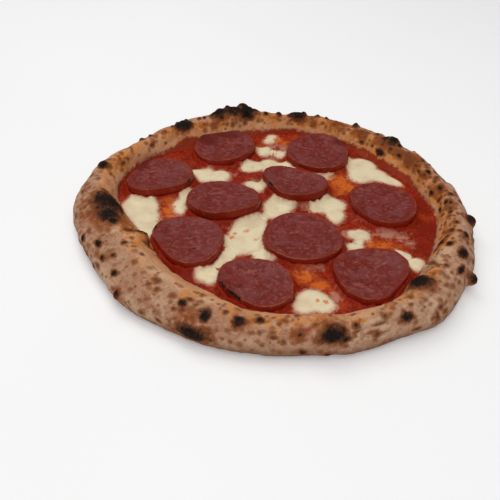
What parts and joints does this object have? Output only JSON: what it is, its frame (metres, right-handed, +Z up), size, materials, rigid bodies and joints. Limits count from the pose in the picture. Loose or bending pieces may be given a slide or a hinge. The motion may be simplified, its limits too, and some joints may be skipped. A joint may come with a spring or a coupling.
{
  "type": "salami pizza",
  "caption": "Round baked pizza with a puffed, charred rim, tomato sauce, melted mozzarella pools and cupped salami slices on top.",
  "frame": {"origin": "under the middle of the pizza's box, on the flat it lies on", "axes": "+Z up, -Y towards the side that the picture shows nearest, +X to its right"},
  "size_m": [0.2877, 0.2784, 0.0273],
  "materials": {
    "baked_crust": "matte, floury, with brown and black baked spots",
    "tomato_sauce": "wet, half gloss",
    "mozzarella": "melted, soft satin",
    "salami": "greasy satin with fine pale specks"
  },
  "bodies": {
    "root": {"crust": "baked_crust", "tomato_sauce": "tomato_sauce", "mozzarella_01": "mozzarella", "mozzarella_02": "mozzarella", "mozzarella_03": "mozzarella", "mozzarella_04": "mozzarella", "mozzarella_05": "mozzarella", "mozzarella_06": "mozzarella", "mozzarella_07": "mozzarella", "mozzarella_08": "mozzarella", "mozzarella_09": "mozzarella", "mozzarella_10": "mozzarella", "mozzarella_11": "mozzarella", "mozzarella_12": "mozzarella", "mozzarella_13": "mozzarella", "mozzarella_14": "mozzarella", "mozzarella_15": "mozzarella", "mozzarella_16": "mozzarella", "mozzarella_17": "mozzarella", "mozzarella_18": "mozzarella", "mozzarella_19": "mozzarella", "salami_01": "salami", "salami_02": "salami", "salami_03": "salami", "salami_04": "salami", "salami_05": "salami", "salami_06": "salami", "salami_07": "salami", "salami_08": "salami", "salami_09": "salami", "salami_10": "salami"}
  },
  "joints": []
}
